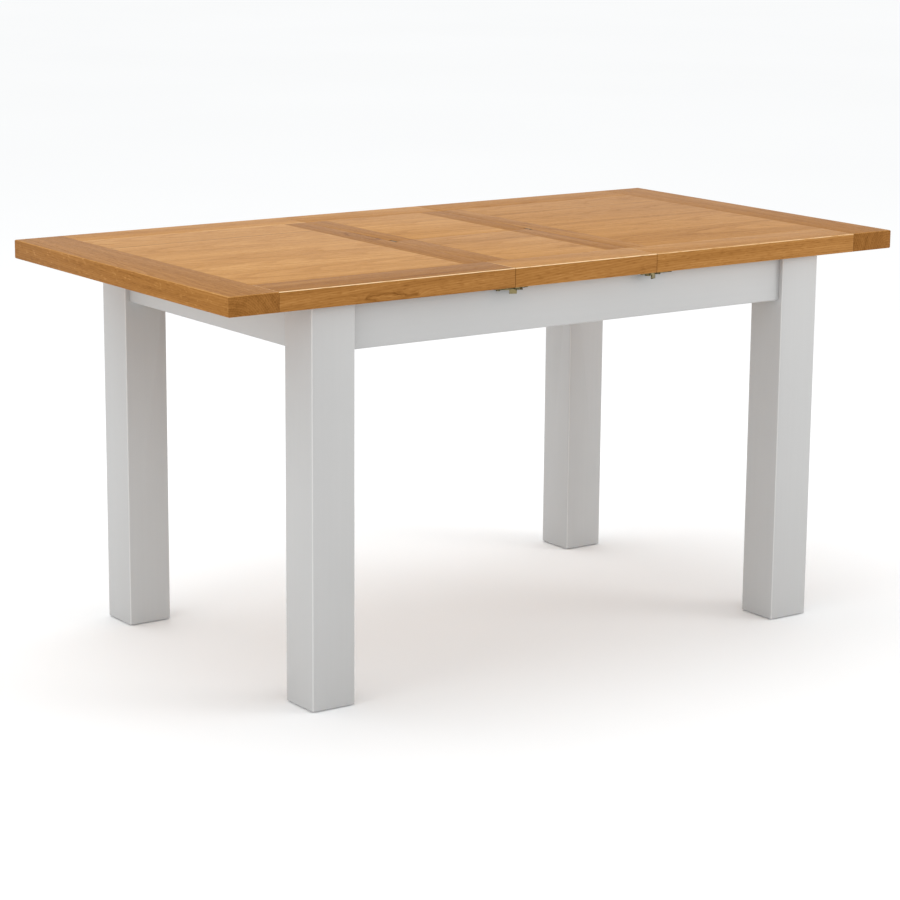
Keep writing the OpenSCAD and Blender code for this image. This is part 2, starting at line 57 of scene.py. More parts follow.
studio = {
    "cameraPlace": (-3.105, -4.361, 1.527),  # metres from the middle of the floor under the table
    "cameraTurn": 35.24, "cameraTilt": 12.51, "cameraRoll": 0.45,  # degrees
    "lens": 110.4, "cameraReach": 60,
    "lightAim": (0, 0, 0.5),
    "floorSize": 60, "floorColour": (0.962, 0.97, 0.975), "floorRough": 0.9,
    "floorClouds": (0.4, 0.4, 0.4), "floorShade": 0.985,
    "skyColour": (1, 1, 1), "skyPower": 1.0,
}
softboxes = {  # place, size, power and colour
    "overheadBox": ((-0.4, 1.2, 3.4), 3.2, 28.3, (1, 1, 1)),
    "rightBox": ((3.4, -3.2, 1.7), 2.0, 43.5, (1, 1, 1)),
    "leftBox": ((-3.9, -0.9, 0.8), 1.4, 20.5, (1, 1, 1)),
}


def aimed(place, target):
    return (Vector(target) - Vector(place)).to_track_quat("-Z", "Y").to_euler()


def makeStudio():
    tilt = Euler((math.radians(90 - studio["cameraTilt"]), 0, -math.radians(studio["cameraTurn"])))
    roll = Matrix.Rotation(math.radians(studio["cameraRoll"]), 3, "Z")
    turned = (tilt.to_matrix() @ roll).to_euler()
    bpy.ops.object.camera_add(location=studio["cameraPlace"], rotation=turned)
    scene.camera = bpy.context.object
    scene.camera.data.lens = studio["lens"]
    scene.camera.data.clip_end = studio["cameraReach"]
    for name, (place, size, power, colour) in softboxes.items():
        bpy.ops.object.light_add(type="AREA", location=place, rotation=aimed(place, studio["lightAim"]))
        box = bpy.context.object
        box.name, box.data.size, box.data.energy, box.data.color = name, size, power, colour
    world = bpy.data.worlds.new("studioSky")
    world.use_nodes = True
    sky = world.node_tree.nodes["Background"]
    sky.inputs["Color"].default_value = (*studio["skyColour"], 1)
    sky.inputs["Strength"].default_value = studio["skyPower"]
    scene.world = world
    scene.view_settings.view_transform = "Standard"
    bpy.ops.mesh.primitive_plane_add(size=studio["floorSize"])
    floor = bpy.context.object
    floor.name = "studioFloor"
    bpy.ops.object.transform_apply(location=True, rotation=True, scale=True)
    return floor


# shader helpers

def addNode(tree, kind, inputs=None, **settings):
    made = tree.nodes.new("ShaderNode" + kind)
    for name, value in settings.items():
        setattr(made, name, value)
    for key, value in (inputs or {}).items():
        if isinstance(value, bpy.types.NodeSocket):
            tree.links.new(value, made.inputs[key])
        else:
            made.inputs[key].default_value = value
    return made


def maths(tree, operation, *values, clamp=False):
    return addNode(tree, "Math", dict(enumerate(values)), operation=operation, use_clamp=clamp).outputs[0]


def vectorMaths(tree, operation, *values):
    made = addNode(tree, "VectorMath", dict(enumerate(values)), operation=operation)
    return made.outputs["Value" if operation in ("LENGTH", "DOT_PRODUCT") else "Vector"]


def scaled(tree, vector, amount):
    inputs = {"Vector": vector, "Scale": amount}
    return addNode(tree, "VectorMath", inputs, operation="SCALE").outputs["Vector"]


def splitUp(tree, vector):
    return addNode(tree, "SeparateXYZ", {0: vector}).outputs


def weighted(tree, value, weight, total, middle=0.5):
    # adds a pattern to a total by how far it is from its middle value
    return maths(tree, "MULTIPLY_ADD", maths(tree, "SUBTRACT", value, middle), weight, total)


def ramp(tree, value, low, high, start=0.0, end=1.0):
    inputs = {"Value": value, "From Min": low, "From Max": high, "To Min": start, "To Max": end}
    return addNode(tree, "MapRange", inputs, interpolation_type="SMOOTHSTEP").outputs["Result"]


def noise(tree, vector, stretch, detail=2.0, seed=0.0, roughness=0.5):
    place = vectorMaths(tree, "MULTIPLY", vector, stretch)
    inputs = {"Vector": place, "W": seed, "Scale": 1.0, "Detail": detail, "Roughness": roughness}
    return addNode(tree, "TexNoise", inputs, noise_dimensions="4D").outputs


def sway(tree, vector, stretch, detail, seed):
    # a noise that pushes to all sides, with no push on average
    return vectorMaths(tree, "SUBTRACT", noise(tree, vector, stretch, detail, seed)["Color"], (0.5, 0.5, 0.5))


def colourRamp(tree, value, stops):
    made = addNode(tree, "ValToRGB", {"Fac": value})
    while len(made.color_ramp.elements) < len(stops):
        made.color_ramp.elements.new(0.5)
    for element, (place, colour) in zip(made.color_ramp.elements, stops):
        element.position, element.color = place, (*colour, 1)
    return made.outputs["Color"]


def newGroup(name, inputs, outputs):
    group = bpy.data.node_groups.new(name, "ShaderNodeTree")
    for label, value in inputs.items():
        kind = "NodeSocketVector" if isinstance(value, tuple) else "NodeSocketFloat"
        socket = group.interface.new_socket(name=label, in_out="INPUT", socket_type=kind)
        socket.default_value = value
    for label in outputs:
        group.interface.new_socket(name=label, in_out="OUTPUT", socket_type="NodeSocketFloat")
    return group, group.nodes.new("NodeGroupInput").outputs, group.nodes.new("NodeGroupOutput").inputs


def useGroup(tree, group, inputs):
    made = tree.nodes.new("ShaderNodeGroup")
    made.node_tree = group
    for key, value in inputs.items():
        if isinstance(value, bpy.types.NodeSocket):
            tree.links.new(value, made.inputs[key])
        else:
            made.inputs[key].default_value = value
    return made.outputs


def newMaterial(name):
    material = bpy.data.materials.new(name)
    material.use_nodes = True
    tree = material.node_tree
    return material, tree, tree.nodes["Principled BSDF"].inputs


def bumped(tree, height, strength, distance):
    inputs = {"Height": height, "Strength": strength, "Distance": distance}
    return addNode(tree, "Bump", inputs).outputs["Normal"]


# shared effects

figure = {  # waves are for each metre along, across and through the grain
    "swirlWaves": (1.6, 8, 8), "rippleWaves": (9, 70, 70), "rippleReach": 0.0016,  # metres
    "ringWaves": 0.21,  # for each ring, so that some rings are darker than others
    "earlyWood": (0.08, 0.6),  # how far into a ring its open, dark part begins to end and ends
    "broadWaves": (0.8, 16, 16), "streakWaves": (3.5, 150, 150),
    "dashWaves": (50, 420, 420), "dashEdge": (0.53, 0.68),  # noise where a dash begins and is full
    "poreWaves": (80, 1700, 1700), "poreEdge": (0.56, 0.66), "latePores": 0.25,
    "rayWaves": (70.0, 75.0, 95.0),  # for each metre along and out from the heart, and each radian
    "rayEdge": (0.58, 0.68),
    "tones": {"broad": 0.45, "rings": 0.95, "streaks": 0.5, "early": -0.12, "dashes": -0.22, "pores": -0.2},
    "depths": {"pores": -1.0, "early": -0.25, "streaks": 0.3},
}
knots = {
    "bendWaves": (30, 60, 60), "bend": 1.3, "heartPower": 3.0, "heart": 0.35,
    "outlineOuter": (0.25, 0.45), "outlineInner": (0.62, 0.46),
    "brokenBy": (0.3, 0.6, 0.35, 1.15),  # streaks from, to, and the strength they leave
    "tone": -16.0,  # for each metre that a knot pushes the rings
}


def makeTimberGrain():
    # growth rings round a tree's heart, with pores, rays and a knot; X runs along the grain
    inputs = {"Vector": (0.0, 0.0, 0.0), "Heart": (0.0, 0.03, -0.09), "Lean": (0.0, 0.02, 0.03),
        "Ring": 0.0035, "Swirl": 0.012, "Seed": 0.0, "Ray Strength": 0.12,
        "Knot": (0.0, 0.0, 0.0), "Knot Size": (0.05, 0.02, 0.02), "Knot Push": 0.0}
    tree, given, out = newGroup("timberGrain", inputs, ("Tone", "Pores", "Rays", "Height"))
    vector, seed, push = given["Vector"], given["Seed"], given["Knot Push"]
    along = splitUp(tree, vector)["X"]

    # place seen from the tree's heart, a little bent
    across = vectorMaths(tree, "SUBTRACT", vector, given["Heart"])
    across = vectorMaths(tree, "SUBTRACT", across, scaled(tree, given["Lean"], along))
    swirl = sway(tree, vector, figure["swirlWaves"], 1.5, seed)
    across = vectorMaths(tree, "ADD", across, scaled(tree, swirl, given["Swirl"]))
    ripple = sway(tree, vector, figure["rippleWaves"], 2, seed)
    across = vectorMaths(tree, "ADD", across, scaled(tree, ripple, figure["rippleReach"]))
    across = vectorMaths(tree, "MULTIPLY", across, (0, 1, 1))
    sides = splitUp(tree, across)
    angle = maths(tree, "ARCTAN2", sides["Y"], sides["Z"])

    # a knot pushes the rings outwards: 1 at its middle, falling to 0
    knotReach = vectorMaths(tree, "SUBTRACT", vector, given["Knot"])
    knotReach = vectorMaths(tree, "DIVIDE", knotReach, given["Knot Size"])
    bend = sway(tree, vector, knots["bendWaves"], 2, seed)
    knotReach = vectorMaths(tree, "ADD", knotReach, scaled(tree, bend, knots["bend"]))
    knotFall = maths(tree, "MULTIPLY", vectorMaths(tree, "DOT_PRODUCT", knotReach, knotReach), -1.0)
    knot = maths(tree, "EXPONENT", knotFall)
    radius = vectorMaths(tree, "LENGTH", across)
    radius = maths(tree, "ADD", radius, maths(tree, "MULTIPLY", knot, push))

    # rings
    ringCount = maths(tree, "DIVIDE", radius, given["Ring"])
    early = ramp(tree, maths(tree, "FRACT", ringCount), *figure["earlyWood"], 1.0, 0.0)
    ringStep = maths(tree, "MULTIPLY", ringCount, figure["ringWaves"])
    ringPlace = addNode(tree, "CombineXYZ", {"X": ringStep, "Y": seed}).outputs[0]
    rings = noise(tree, ringPlace, (1, 1, 1), 2.5, 3.0, 0.6)["Fac"]

    # patches, streaks, dashes, pores and rays
    broad = noise(tree, vector, figure["broadWaves"], 3, seed, 0.6)["Fac"]
    streaks = noise(tree, vector, figure["streakWaves"], 3, seed, 0.65)["Fac"]
    dashes = noise(tree, vector, figure["dashWaves"], 1.5, seed)["Fac"]
    dashes = ramp(tree, dashes, *figure["dashEdge"])
    pores = noise(tree, vector, figure["poreWaves"], 1, seed)["Fac"]
    share = maths(tree, "MULTIPLY_ADD", early, 1 - figure["latePores"], figure["latePores"])
    pores = maths(tree, "MULTIPLY", ramp(tree, pores, *figure["poreEdge"]), share)
    rayPlace = addNode(tree, "CombineXYZ", {"X": along, "Y": radius, "Z": angle}).outputs[0]
    rays = noise(tree, rayPlace, figure["rayWaves"], 1.5, seed)["Fac"]
    rays = ramp(tree, rays, *figure["rayEdge"])

    # the eye of a knot: a dark heart inside a dark, broken outline
    outline = maths(tree, "MULTIPLY", ramp(tree, knot, *knots["outlineOuter"]),
        ramp(tree, knot, *knots["outlineInner"]))
    heart = maths(tree, "MULTIPLY", maths(tree, "POWER", knot, knots["heartPower"]), knots["heart"])
    eye = maths(tree, "ADD", heart, outline)
    eye = maths(tree, "MULTIPLY", eye, ramp(tree, streaks, *knots["brokenBy"]))

    marks = {"broad": broad, "rings": rings, "streaks": streaks,
        "early": early, "dashes": dashes, "pores": pores}
    tone = 0.5
    for name in ("broad", "rings", "streaks"):
        tone = weighted(tree, marks[name], figure["tones"][name], tone)
    for name in ("early", "dashes", "pores"):
        tone = maths(tree, "MULTIPLY_ADD", marks[name], figure["tones"][name], tone)
    tone = maths(tree, "MULTIPLY_ADD", rays, given["Ray Strength"], tone)
    tone = maths(tree, "MULTIPLY_ADD", eye, maths(tree, "MULTIPLY", push, knots["tone"]), tone)
    height = 0.0
    for name, depth in figure["depths"].items():
        height = maths(tree, "MULTIPLY_ADD", marks[name], depth, height)
    for label, value in (("Tone", tone), ("Pores", pores), ("Rays", rays), ("Height", height)):
        tree.links.new(value, out[label])
    return tree


maskEdges = {"end": (0.55, 0.95), "arris": (0.95, 0.6), "upright": (0.35, 0.15), "upward": (0.35, 0.5)}


def makeFaceMasks():
    # End looks along the grain and Side sideways; Arris is any softened edge, Upper one that
    # looks up and Crease an upright one
    inputs = {"Normal": (0.0, 0.0, 1.0), "Grain": (1.0, 0.0, 0.0)}
    tree, given, out = newGroup("faceMasks", inputs, ("End", "Side", "Arris", "Upper", "Crease"))
    normal = given["Normal"]
    facing = maths(tree, "ABSOLUTE", vectorMaths(tree, "DOT_PRODUCT", normal, given["Grain"]))
    squares = splitUp(tree, vectorMaths(tree, "MULTIPLY", normal, normal))
    most = maths(tree, "MAXIMUM", maths(tree, "MAXIMUM", squares["X"], squares["Y"]), squares["Z"])
    arris = ramp(tree, most, *maskEdges["arris"])
    upright = ramp(tree, squares["Z"], *maskEdges["upright"])
    upward = ramp(tree, splitUp(tree, normal)["Z"], *maskEdges["upward"])
    tree.links.new(ramp(tree, facing, *maskEdges["end"]), out["End"])
    tree.links.new(upright, out["Side"])
    tree.links.new(arris, out["Arris"])
    tree.links.new(maths(tree, "MULTIPLY", arris, upward), out["Upper"])
    tree.links.new(maths(tree, "MULTIPLY", arris, upright), out["Crease"])
    return tree


brush = {"peelWaves": (420, 420, 420), "cloudWaves": (3, 3, 3), "marksTone": 0.35, "marksDepth": 0.7}


def makeBrushMarks():
    # brushed paint: long faint marks drawn out by Stretch, an even orange peel and faint clouding
    inputs = {"Vector": (0.0, 0.0, 0.0), "Stretch": (3.0, 160.0, 160.0)}
    tree, given, out = newGroup("brushMarks", inputs, ("Tone", "Rough", "Height"))
    place = vectorMaths(tree, "MULTIPLY", given["Vector"], given["Stretch"])
    inputs = {"Vector": place, "Scale": 1.0, "Detail": 3.0, "Roughness": 0.6}
    marks = addNode(tree, "TexNoise", inputs).outputs["Fac"]
    peel = noise(tree, given["Vector"], brush["peelWaves"], 1.5)["Fac"]
    cloud = noise(tree, given["Vector"], brush["cloudWaves"], 2)["Fac"]
    rough = maths(tree, "MULTIPLY_ADD", marks, 0.5, maths(tree, "MULTIPLY", cloud, 0.5))
    peel = maths(tree, "MULTIPLY", peel, 1 - brush["marksDepth"])
    height = maths(tree, "MULTIPLY_ADD", marks, brush["marksDepth"], peel)
    tree.links.new(weighted(tree, marks, brush["marksTone"], cloud), out["Tone"])
    tree.links.new(rough, out["Rough"])
    tree.links.new(height, out["Height"])
    return tree


wornMetal = {"scratchWaves": (240, 3200, 1400), "blotchEdge": (0.38, 0.6), "blotchDepth": 0.6}


def makeTarnish():
    # blotches, fine scratches and speckle on metal and nylon
    inputs = {"Vector": (0.0, 0.0, 0.0), "Size": 60.0}
    tree, given, out = newGroup("tarnish", inputs, ("Blotch", "Scratch", "Height"))
    place = scaled(tree, given["Vector"], given["Size"])
    blotch = noise(tree, place, (1, 1, 1), 4, 1.0, 0.65)["Fac"]
    scratch = noise(tree, given["Vector"], wornMetal["scratchWaves"], 2, 2.0)["Fac"]
    height = maths(tree, "MULTIPLY", scratch, 1 - wornMetal["blotchDepth"])
    height = maths(tree, "MULTIPLY_ADD", blotch, wornMetal["blotchDepth"], height)
    tree.links.new(ramp(tree, blotch, *wornMetal["blotchEdge"]), out["Blotch"])
    tree.links.new(scratch, out["Scratch"])
    tree.links.new(height, out["Height"])
    return tree


# timber

# the last colour is a painted highlight, reached only where a board's top arris is lightened
oakColours = (  # tone, colour; the last one is only reached on a bright arris
    (0.0, (0.092, 0.031, 0.005)), (0.22, (0.207, 0.081, 0.0165)), (0.45, (0.338, 0.150, 0.038)),
    (0.66, (0.478, 0.236, 0.073)), (0.8, (0.58, 0.309, 0.108)), (1.0, (0.90, 0.67, 0.41)))
beechColours = ((0.0, (0.31, 0.184, 0.092)), (0.4, (0.506, 0.359, 0.216)), (0.8, (0.626, 0.488, 0.331)))

# grain direction, tone, change of tone on the board's sides, a painted highlight on its top arris,
# the tree's heart across and below the board's middle, its lean for each metre along the board,
# ring spacing, swirl, seed and strength of the rays; knot is place, size and push; joints are each
# glue line's place and strength, where a negative strength paints a pale line as a painted highlight
oakBoards = {
    "left_end_board": dict(
        grain="Y", tone=0.61, edge=-0.07, arris=0.2, heart=(0.056, -0.05), lean=(0.01, 0.02),
        ring=0.0042, swirl=0.04, seed=1, rays=0.22,
        knot=((-0.05, 0.066, 0.004), (0.24, 0.05, 0.009), 0.006)),
    "right_end_board": dict(
        grain="Y", tone=0.58, edge=0.0, arris=0.12, heart=(-0.03, -0.03), lean=(0.03, -0.02),
        ring=0.0048, swirl=0.02, seed=2),
    "left_front_rail": dict(
        grain="X", tone=0.56, edge=0.0, arris=0.75, heart=(-0.09, -0.10), lean=(0.03, 0.05),
        ring=0.0038, swirl=0.016, seed=3,
        knot=((-0.025, -0.045, -0.0115), (0.05, 0.03, 0.0085), 0.024)),
    "right_front_rail": dict(
        grain="X", tone=0.76, edge=-0.13, arris=0.36, heart=(0.05, -0.12), lean=(0.02, 0.04),
        ring=0.0034, swirl=0.014, seed=4),
    "left_back_rail": dict(
        grain="X", tone=0.78, edge=-0.1, arris=0.2, heart=(0.04, -0.16), lean=(0.02, 0.01),
        # the joint with a negative strength paints a pale line along the rail's front edge: a painted
        # highlight
        ring=0.003, swirl=0.01, seed=5, joints=((0.3116, -0.34),)),
    "right_back_rail": dict(
        grain="X", tone=0.70, edge=-0.08, arris=0.2, heart=(-0.04, -0.13), lean=(-0.02, 0.02),
        ring=0.003, swirl=0.01, seed=6),
    "left_strip": dict(
        grain="Y", tone=0.58, edge=-0.1, arris=0.05, heart=(0.03, -0.05), lean=(0.02, 0.01),
        ring=0.0036, swirl=0.014, seed=7,
        knot=((0.085, -0.012, 0.018), (0.065, 0.014, 0.03), 0.032)),
    "right_strip": dict(
        grain="Y", tone=0.62, edge=-0.1, arris=0.05, heart=(-0.02, -0.1), lean=(0.01, 0.02),
        ring=0.003, swirl=0.012, seed=8),
    "left_panel": dict(
        grain="X", tone=0.84, edge=-0.1, arris=0.1, heart=(0.02, -0.14), lean=(0.03, 0.03),
        ring=0.0034, swirl=0.012, seed=9, joints=((-0.178, 0.15), (-0.09, 0.1), (0.003, 0.15), (0.2, 1.0))),
    "right_panel": dict(
        grain="X", tone=0.73, edge=-0.1, arris=0.1, heart=(0.01, -0.15), lean=(0.02, 0.03),
        ring=0.0032, swirl=0.012, seed=10, joints=((-0.155, 0.15), (0.003, 0.15), (0.2, 0.5))),
    "front_leaf_rail": dict(
        grain="X", tone=0.80, edge=-0.22, arris=0.5, heart=(0.05, -0.09), lean=(-0.04, 0.05),
        ring=0.0036, swirl=0.014, seed=11),
    "back_leaf_rail": dict(
        grain="X", tone=0.76, edge=-0.1, arris=0.2, heart=(0.03, -0.15), lean=(0.02, 0.02),
        ring=0.003, swirl=0.01, seed=12),
    "front_leaf_strips": dict(
        grain="Y", tone=0.58, edge=-0.1, arris=0.05, heart=(0.02, -0.06), lean=(0.02, 0.01),
        ring=0.0034, swirl=0.014, seed=13),
    "back_leaf_strips": dict(
        grain="Y", tone=0.57, edge=-0.1, arris=0.05, heart=(0.02, -0.06), lean=(0.02, 0.01),
        ring=0.0034, swirl=0.014, seed=14),
    "front_leaf_panel": dict(
        grain="X", tone=0.8, edge=-0.1, arris=0.1, heart=(0.01, -0.14), lean=(0.03, 0.02),
        ring=0.0033, swirl=0.012, seed=15, joints=((-0.178, 0.15), (-0.09, 0.15))),
    "back_leaf_panel": dict(
        grain="X", tone=0.8, edge=-0.1, arris=0.1, heart=(0.03, -0.15), lean=(0.03, 0.02),
        ring=0.0033, swirl=0.012, seed=16, joints=((0.11, 0.15), (0.2, 0.4))),
}
oak = {"contrast": 0.62, "rough": 0.42, "bumpSize": 0.00025}
beech = dict(tone=0.55, edge=0.0, arris=0.2, heart=(0.02, -0.12), lean=(0.02, 0.02), ring=0.0022,
    swirl=0.006, contrast=0.4, rough=0.62, bumpSize=0.0002, sheen=0.25)
glueAndHighlightLines = {
    "reach": 0.0015, "middle": 0.0007,  # half widths in metres
    "tone": -0.85, "seedStep": 7.3,
    "staveTones": (0.04, -0.07, 0.05, 0.03),  # change of tone past each glue line
}
timberLook = {
    "middle": 0.45,  # the tone of the figure that leaves a board's own tone as it is
    # creaseTone is painted shade that darkens the upright bevelled edges of the boards and the grooves at
    # their joints
    "endContrast": 0.2, "endTone": -0.2, "creaseTone": -0.6, "toneScale": 0.8,
    "poreRough": 0.16, "rayRough": -0.06, "endRough": 0.12, "bump": 0.35,
}
grainAxes = {"X": (1, 0, 0), "Y": (0, 1, 0)}
grainTurns = {"X": (0, 0, 0), "Y": (0, 0, -math.pi / 2)}


def boardCentre(node, grain):
    low, high = (Vector(corner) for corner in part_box(node))
    middle = (low + high) / 2
    return Vector((middle.y, -middle.x, middle.z)) if grain == "Y" else middle


def staves(tree, vector, centre, joints, width):
    # moves each glued stave of a panel to its own place in its own tree, and marks the glue lines; a negative
    # strength marks a pale painted highlight line instead
    place = splitUp(tree, vector)["Y"]
    edges = [centre.y - width / 2, *(joint for joint, strength in joints), centre.y + width / 2]
    middles = [(a + b) / 2 for a, b in zip(edges, edges[1:])]
    shift, seed, line, light = middles[0] - centre.y, 0.0, 0.0, 0.0
    for index, (joint, strength) in enumerate(joints):
        past = maths(tree, "GREATER_THAN", place, joint - centre.y)
        shift = maths(tree, "MULTIPLY_ADD", past, middles[index + 1] - middles[index], shift)
        seed = maths(tree, "MULTIPLY_ADD", past, glueAndHighlightLines["seedStep"], seed)
        near = maths(tree, "ABSOLUTE", maths(tree, "SUBTRACT", place, joint - centre.y))
        near = ramp(tree, near, glueAndHighlightLines["reach"], glueAndHighlightLines["middle"])
        line = maths(tree, "MULTIPLY_ADD", near, strength, line)
        light = maths(tree, "MULTIPLY_ADD", past, glueAndHighlightLines["staveTones"][index], light)
    moved = vectorMaths(tree, "SUBTRACT", vector, addNode(tree, "CombineXYZ", {"Y": shift}).outputs[0])
    return moved, seed, line, light


def timberMaterial(name, node, colours, grain, tone, edge, arris, heart, lean, ring, swirl, seed,
        contrast, rough, bumpSize, knot=None, joints=None, rays=0.12, sheen=0.02):
    material, tree, surface = newMaterial(name)
    coordinates = addNode(tree, "TexCoord").outputs
    centre = boardCentre(node, grain)
    inputs = {"Vector": coordinates["Object"], "Rotation": grainTurns[grain]}
    turned = addNode(tree, "Mapping", inputs).outputs[0]
    vector = vectorMaths(tree, "SUBTRACT", turned, tuple(centre))
    offset = float(seed)
    if joints:
        low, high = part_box(node)
        vector, extra, line, light = staves(tree, vector, centre, joints, high[1] - low[1])
        offset = maths(tree, "ADD", extra, offset)
    inputs = {"Vector": vector, "Heart": (0, *heart), "Lean": (0, *lean), "Ring": ring, "Swirl": swirl,
        "Seed": offset, "Ray Strength": rays}
    if knot:
        inputs.update({"Knot": knot[0], "Knot Size": knot[1], "Knot Push": knot[2]})
    wood = useGroup(tree, timberGrain, inputs)
    faces = useGroup(tree, faceMasks, {"Normal": coordinates["Normal"], "Grain": grainAxes[grain]})

    strength = maths(tree, "MULTIPLY_ADD", faces["End"], timberLook["endContrast"] * contrast, contrast)
    value = weighted(tree, wood["Tone"], strength, tone, timberLook["middle"])
    # Upper adds a painted highlight along the top arris
    for mask, change in (("End", timberLook["endTone"] - edge), ("Side", edge), ("Upper", arris),
            # Crease adds painted shade on upright bevelled edges
            ("Crease", timberLook["creaseTone"])):
        value = maths(tree, "MULTIPLY_ADD", faces[mask], change, value)
    if joints:
        value = maths(tree, "ADD", value, light)
        value = maths(tree, "MULTIPLY_ADD", line, glueAndHighlightLines["tone"], value)
    value = maths(tree, "MULTIPLY", value, timberLook["toneScale"])
    tree.links.new(colourRamp(tree, value, colours), surface["Base Color"])

    shine = maths(tree, "MULTIPLY_ADD", wood["Pores"], timberLook["poreRough"], rough)
    shine = maths(tree, "MULTIPLY_ADD", wood["Rays"], timberLook["rayRough"], shine)
    shine = maths(tree, "MULTIPLY_ADD", faces["End"], timberLook["endRough"], shine)
    tree.links.new(shine, surface["Roughness"])
    surface["Specular IOR Level"].default_value = sheen
    tree.links.new(bumped(tree, wood["Height"], timberLook["bump"], bumpSize), surface["Normal"])
    return material


def oakMaterial(node):
    return timberMaterial("oak_" + node, node, oakColours, **oak, **oakBoards[node])


def beechMaterial(node, grain, seed):
    return timberMaterial("beech_" + node, node, beechColours, **beech, grain=grain, seed=seed)


# paint, metal and nylon

paint = {
    # the pale arris colour is a painted highlight along the rounded edges of the legs and aprons
    "arris": (0.60, 0.596, 0.588), "light": (0.482, 0.480, 0.475), "dark": (0.456, 0.455, 0.450),
    "stops": (0.3, 0.75, 1.0), "arrisTone": 0.8, "rough": 0.35, "roughSpread": 0.14,
    "sheen": 0.4, "bump": 0.22, "bumpSize": 0.0002,
    "stretches": {  # waves of the brush marks for each metre along X, Y and Z
        "legPaint": (150.0, 150.0, 3.0),
        "apronPaint": (3.0, 150.0, 150.0),
        "endApronPaint": (150.0, 3.0, 150.0),
    },
}
metals = {  # clean colour, tarnished colour, clean roughness, tarnished roughness and blotches in a metre
    "brass": ((0.25, 0.205, 0.1), (0.04, 0.036, 0.022), 0.3, 0.55, 90.0),
    "steel": ((0.66, 0.67, 0.68), (0.42, 0.43, 0.45), 0.28, 0.45, 140.0),
}
metalLook = {"arrisWear": -0.5, "bump": 0.25, "bumpSize": 0.0001}
nylonLook = {
    "dark": (0.03, 0.03, 0.032), "light": (0.055, 0.055, 0.057), "blotches": 900.0,
    "rough": 0.45, "roughSpread": 0.2, "bump": 0.3, "bumpSize": 0.0001,
}


def paintMaterial(name, stretch):
    material, tree, surface = newMaterial(name)
    coordinates = addNode(tree, "TexCoord").outputs
    marks = useGroup(tree, brushMarks, {"Vector": coordinates["Object"], "Stretch": stretch})
    faces = useGroup(tree, faceMasks, {"Normal": coordinates["Normal"]})
    # painted highlight: rounded edges are pushed towards the pale arris colour
    tone = maths(tree, "MULTIPLY_ADD", faces["Arris"], paint["arrisTone"], marks["Tone"])
    stops = zip(paint["stops"], (paint["dark"], paint["light"], paint["arris"]))
    tree.links.new(colourRamp(tree, tone, tuple(stops)), surface["Base Color"])
    shine = maths(tree, "MULTIPLY_ADD", marks["Rough"], paint["roughSpread"], paint["rough"])
    tree.links.new(shine, surface["Roughness"])
    surface["Specular IOR Level"].default_value = paint["sheen"]
    tree.links.new(bumped(tree, marks["Height"], paint["bump"], paint["bumpSize"]), surface["Normal"])
    return material


def metalMaterial(name):
    clean, dull, smooth, rough, blotches = metals[name]
    material, tree, surface = newMaterial(name)
    coordinates = addNode(tree, "TexCoord").outputs
    wear = useGroup(tree, tarnish, {"Vector": coordinates["Object"], "Size": blotches})
    faces = useGroup(tree, faceMasks, {"Normal": coordinates["Normal"]})
    amount = maths(tree, "MULTIPLY_ADD", faces["Arris"], metalLook["arrisWear"], wear["Blotch"], clamp=True)
    tree.links.new(colourRamp(tree, amount, ((0.0, clean), (1.0, dull))), surface["Base Color"])
    tree.links.new(maths(tree, "MULTIPLY_ADD", amount, rough - smooth, smooth), surface["Roughness"])
    surface["Metallic"].default_value = 1
    tree.links.new(bumped(tree, wear["Height"], metalLook["bump"], metalLook["bumpSize"]), surface["Normal"])
    return material


def nylonMaterial():
    material, tree, surface = newMaterial("nylon")
    place = addNode(tree, "TexCoord").outputs["Object"]
    wear = useGroup(tree, tarnish, {"Vector": place, "Size": nylonLook["blotches"]})
    stops = ((0.0, nylonLook["dark"]), (1.0, nylonLook["light"]))
    tree.links.new(colourRamp(tree, wear["Blotch"], stops), surface["Base Color"])
    shine = maths(tree, "MULTIPLY_ADD", wear["Scratch"], nylonLook["roughSpread"], nylonLook["rough"])
    tree.links.new(shine, surface["Roughness"])
    tree.links.new(bumped(tree, wear["Height"], nylonLook["bump"], nylonLook["bumpSize"]), surface["Normal"])
    return material


def floorMaterial():
    material, tree, surface = newMaterial("studioFloor")
    place = addNode(tree, "TexCoord").outputs["Object"]
    cloud = noise(tree, place, studio["floorClouds"], 2)["Fac"]
    pale = studio["floorColour"]
    shade = tuple(studio["floorShade"] * part for part in pale)
    tree.links.new(colourRamp(tree, cloud, ((0.3, shade), (0.7, pale))), surface["Base Color"])
    surface["Roughness"].default_value = studio["floorRough"]
    surface["Specular IOR Level"].default_value = 0
    return material


# pieces with softened edges

softEdges = {
    "radius": {  # in metres, by finish
        "oak": 0.0004, "painted_wood": 0.0008, "inner_wood": 0.001,
        "brass": 0.0003, "steel": 0.0003, "nylon": 0.0006,
    },
    "segments": 2, "mergeReach": 0.000002,  # points nearer than this in metres become one
    "flatAngle": 0.3, "edgeAngle": 28, "smoothAngle": 32,  # degrees
    "leftPlain": ("hinge_pins", "cross_rail_dowels", "stow_pins"),
}


def pieceName(node):
    first, *rest = node.split("_")
    return first + "".join(word.capitalize() for word in rest)


def activate(piece):
    bpy.ops.object.select_all(action="DESELECT")
    piece.select_set(True)
    bpy.context.view_layer.objects.active = piece


